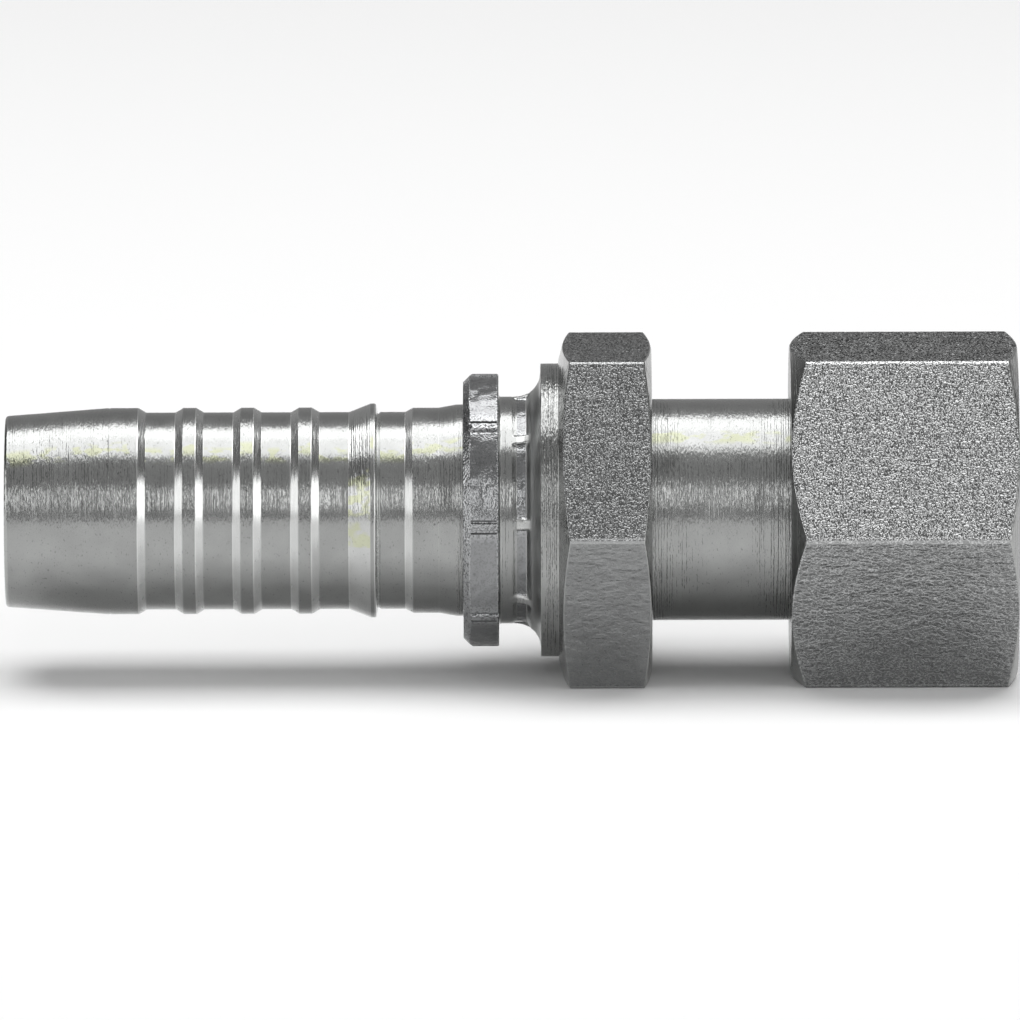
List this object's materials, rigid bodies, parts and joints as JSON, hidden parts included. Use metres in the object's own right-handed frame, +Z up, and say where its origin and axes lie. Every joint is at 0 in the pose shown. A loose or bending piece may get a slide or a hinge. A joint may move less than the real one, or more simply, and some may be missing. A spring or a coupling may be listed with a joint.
{
  "type": "hydraulic hose fitting with swivel nut",
  "caption": "Zinc-plated steel hose fitting with a barbed tail, a crimped hexagon collar and a loose swivel nut, for joining a high-pressure hose to a coned pipe end.",
  "frame": {"origin": "middle of the bottom of the bounding box, under the stem's axis, on the surface that the hexagons' flats rest on", "axes": "+X along the stem from the hose tail to the swivel nut, +Z up from the flats that it rests on"},
  "size_m": [0.098, 0.037, 0.032],
  "materials": {
    "turned_zinc": "turned steel under bright zinc plating",
    "crimped_zinc": "pressed and turned steel under bright zinc plating, with rough drawn flats",
    "nut_zinc": "drawn hexagon steel with a rough grained skin under zinc plating"
  },
  "bodies": {
    "root": {"stem": "turned_zinc", "hex_collar": "crimped_zinc"},
    "nut": {"swivel_nut": "nut_zinc"}
  },
  "joints": [
    {"name": "nut_spin", "type": "hinge", "parent": "root", "child": "nut", "pos_m": [0.0289, 0, 0.016], "axis": [1, 0, 0], "continuous": true}
  ]
}
